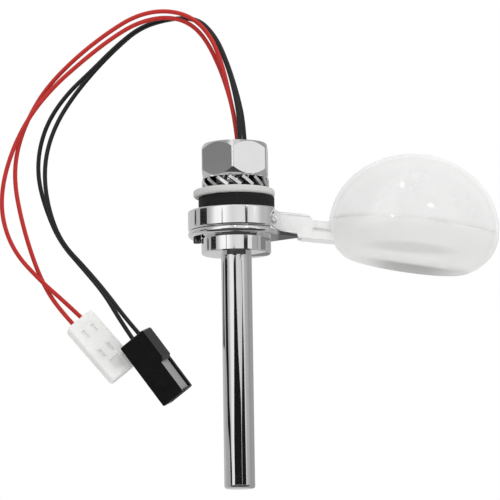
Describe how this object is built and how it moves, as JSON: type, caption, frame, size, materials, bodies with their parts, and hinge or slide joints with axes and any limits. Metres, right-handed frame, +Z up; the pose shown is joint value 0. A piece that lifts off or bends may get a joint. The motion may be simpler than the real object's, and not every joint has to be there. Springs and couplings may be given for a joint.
{
  "type": "float probe",
  "caption": "Level and temperature probe: a threaded body with a sheath tube below, a hinged clear float beside it, and wires with connectors above.",
  "frame": {"origin": "on the probe's axis, at the upper face of the holder ring, where the gasket seats", "axes": "+Z up the threaded shank towards the wires, +X from the axis towards the float, +Y completes the right-handed frame"},
  "size_m": [0.1469, 0.0416, 0.1426],
  "materials": {
    "polished_steel": "polished",
    "washer_plastic": "satin",
    "gasket_rubber": "matte",
    "clear_bowl": "clear gloss",
    "clear_dome": "clear gloss",
    "magnet_plating": "plated",
    "potting_resin": "cast resin",
    "reed_glass": "clear",
    "lead_wire": "tinned",
    "white_nylon": "satin, slightly translucent",
    "black_nylon": "satin",
    "terminal_brass": "tinned",
    "red_sleeve": "satin",
    "black_sleeve": "satin"
  },
  "bodies": {
    "probe": {"probe_body": "polished_steel", "sheath_tube": "polished_steel", "potting_plug": "potting_resin", "reed_switch": "reed_glass", "reed_lead_upper": "lead_wire", "reed_lead_lower": "lead_wire", "temperature_bead": "potting_resin", "sensor_lead_1": "lead_wire", "sensor_lead_2": "lead_wire", "hex_nut": "polished_steel", "lock_washer": "polished_steel", "flat_washer": "washer_plastic", "gasket": "gasket_rubber", "holder_ring": "polished_steel", "stop_plate": "polished_steel", "plate_screw": "polished_steel", "pivot_pin": "polished_steel", "white_plug_housing": "white_nylon", "white_terminal_1": "terminal_brass", "white_terminal_2": "terminal_brass", "black_plug_housing": "black_nylon", "black_terminal_1": "terminal_brass", "black_terminal_2": "terminal_brass", "red_wire_outer": "red_sleeve", "red_wire_inner": "red_sleeve", "black_wire_left": "black_sleeve", "black_wire_right": "black_sleeve"},
    "float": {"float_base": "clear_bowl", "float_dome": "clear_dome", "magnet": "magnet_plating"}
  },
  "joints": [
    {"name": "float_hinge", "type": "hinge", "parent": "probe", "child": "float", "pos_m": [0.0113, 0, -0.0031], "axis": [0, -1, 0], "range_deg": [0, 45]}
  ]
}
